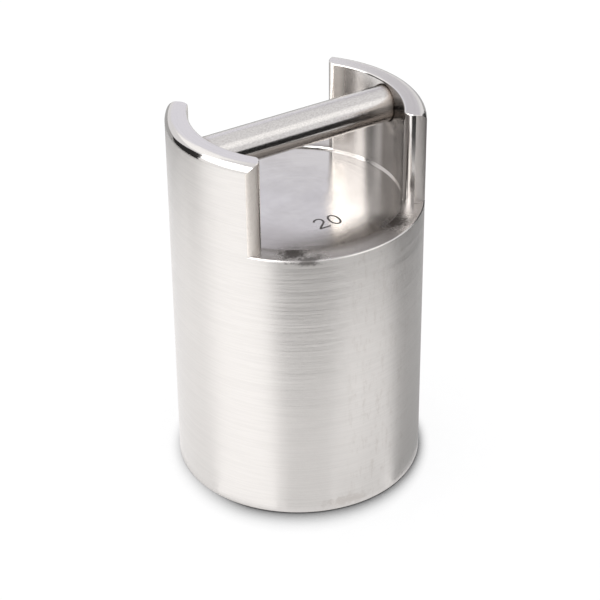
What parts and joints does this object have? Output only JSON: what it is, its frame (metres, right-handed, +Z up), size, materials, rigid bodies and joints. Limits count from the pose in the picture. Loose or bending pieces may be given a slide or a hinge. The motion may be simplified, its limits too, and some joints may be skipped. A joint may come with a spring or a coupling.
{
  "type": "calibration weight",
  "caption": "Cylindrical stainless steel calibration weight with a recessed top, upstanding side walls and a grip bar between them.",
  "frame": {"origin": "middle of the flat base, at the height the weight stands on", "axes": "+Z up along the cylinder's axis; +X along the grip bar, with its deeper pocket at +X; -Y and +Y out through the openings a hand reaches through"},
  "size_m": [0.137, 0.137, 0.2134],
  "materials": {
    "body_steel": "satin, fine turning lines round the cylinder, polished inside the rim",
    "bar_steel": "satin, fine lines along the bar"
  },
  "bodies": {
    "root": {"body": "body_steel", "handle_bar": "bar_steel"}
  },
  "joints": []
}
